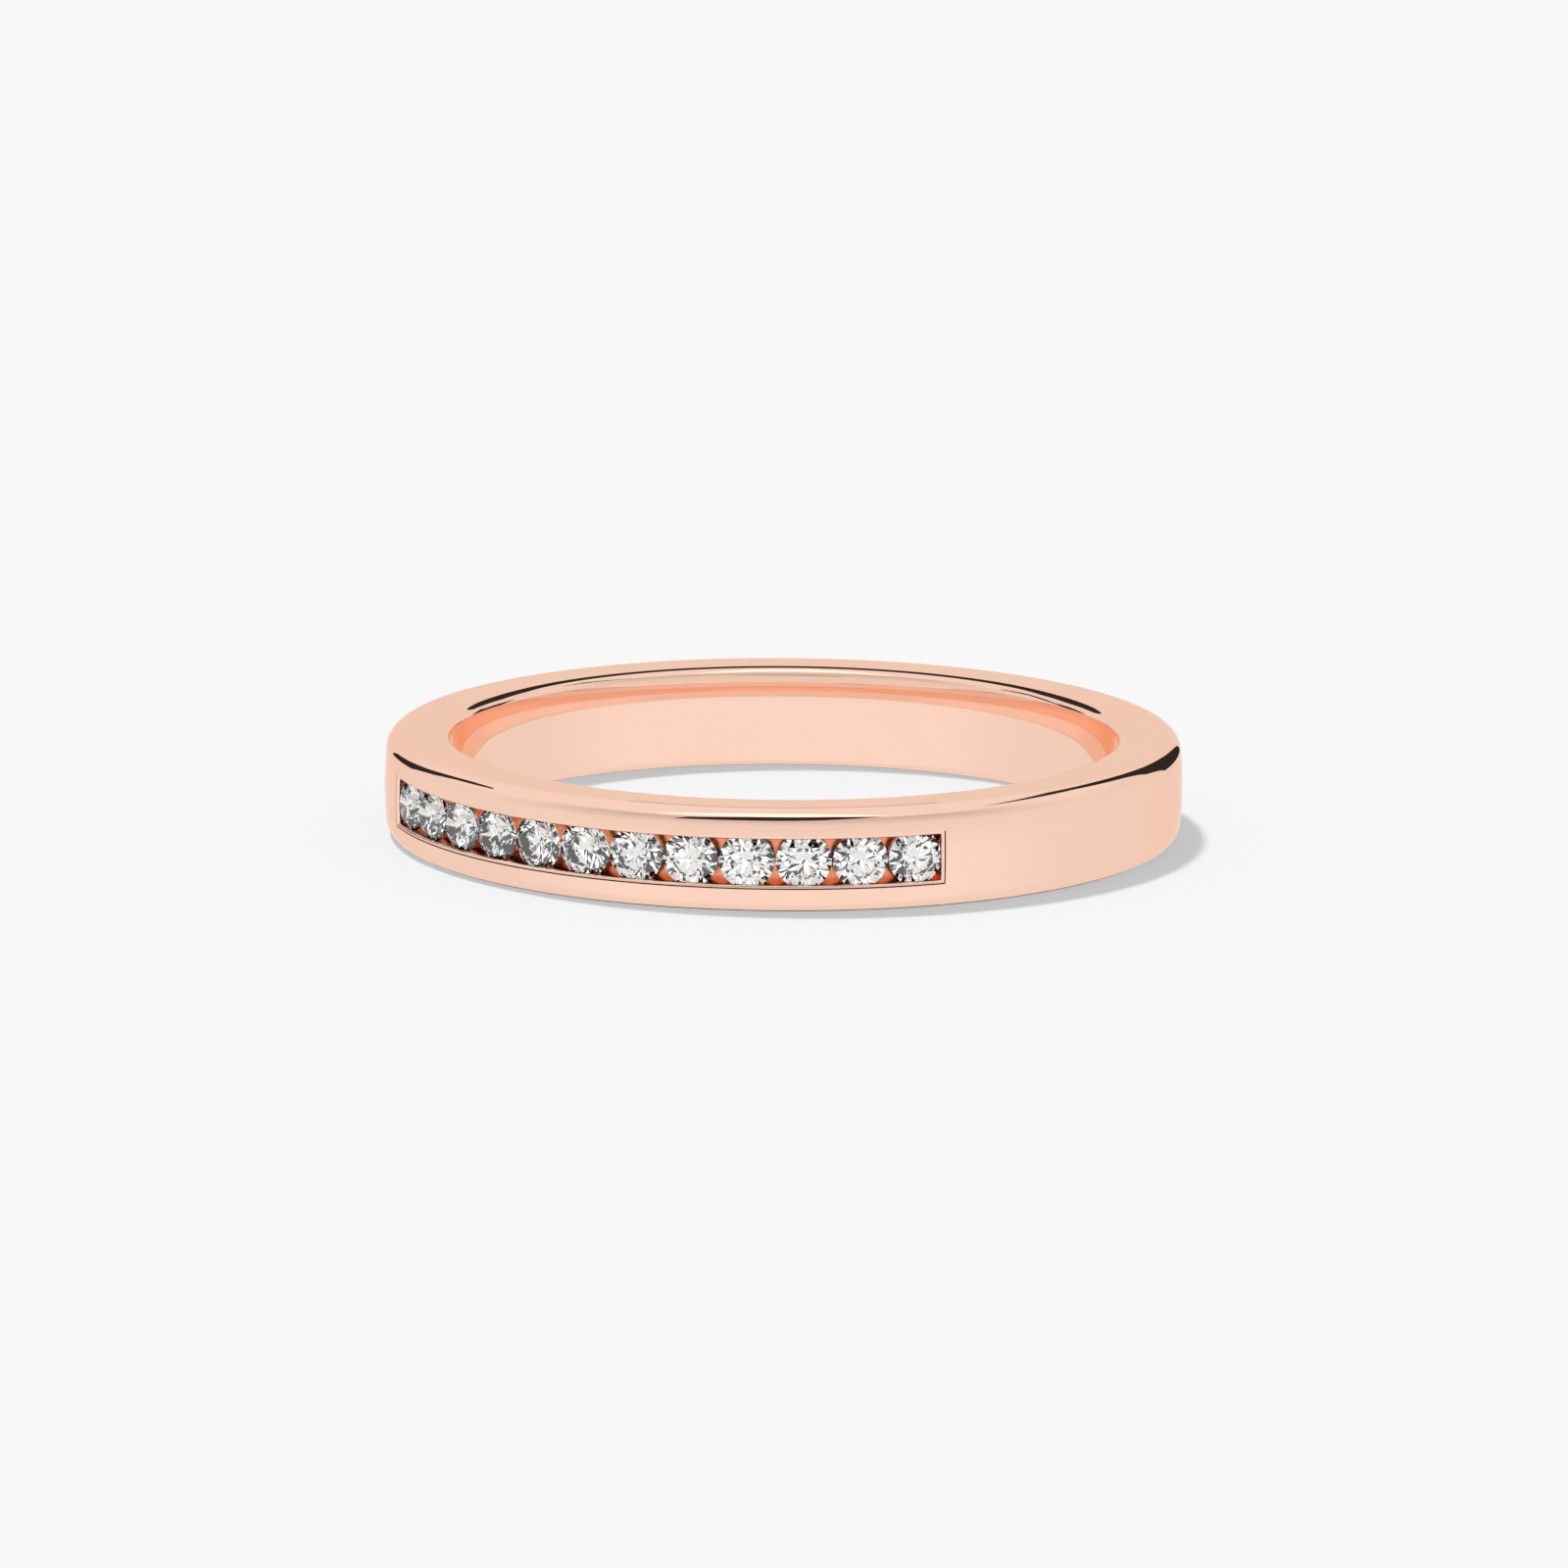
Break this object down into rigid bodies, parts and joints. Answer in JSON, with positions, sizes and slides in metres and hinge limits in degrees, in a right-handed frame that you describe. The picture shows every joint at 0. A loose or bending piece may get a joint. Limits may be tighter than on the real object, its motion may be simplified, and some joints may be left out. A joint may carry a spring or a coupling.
{
  "type": "wedding band",
  "caption": "Polished rose gold wedding band with rounded edges and a channel across part of its outer face that holds a row of round brilliant diamonds.",
  "frame": {"origin": "on the ring's axis, in the plane of the side face that the ring rests on", "axes": "+Z along the ring's axis, up through the finger hole; -Y towards the middle of the row of stones; +X to the right of someone facing the stones"},
  "size_m": [0.0206, 0.0205, 0.0026],
  "materials": {
    "rose_gold": "mirror-polished 14 carat rose gold, all over",
    "diamond": "colourless, polished facets"
  },
  "bodies": {
    "root": {"band": "rose_gold", "diamond_01": "diamond", "diamond_02": "diamond", "diamond_03": "diamond", "diamond_04": "diamond", "diamond_05": "diamond", "diamond_06": "diamond", "diamond_07": "diamond", "diamond_08": "diamond", "diamond_09": "diamond", "diamond_10": "diamond", "diamond_11": "diamond", "diamond_12": "diamond"}
  },
  "joints": []
}
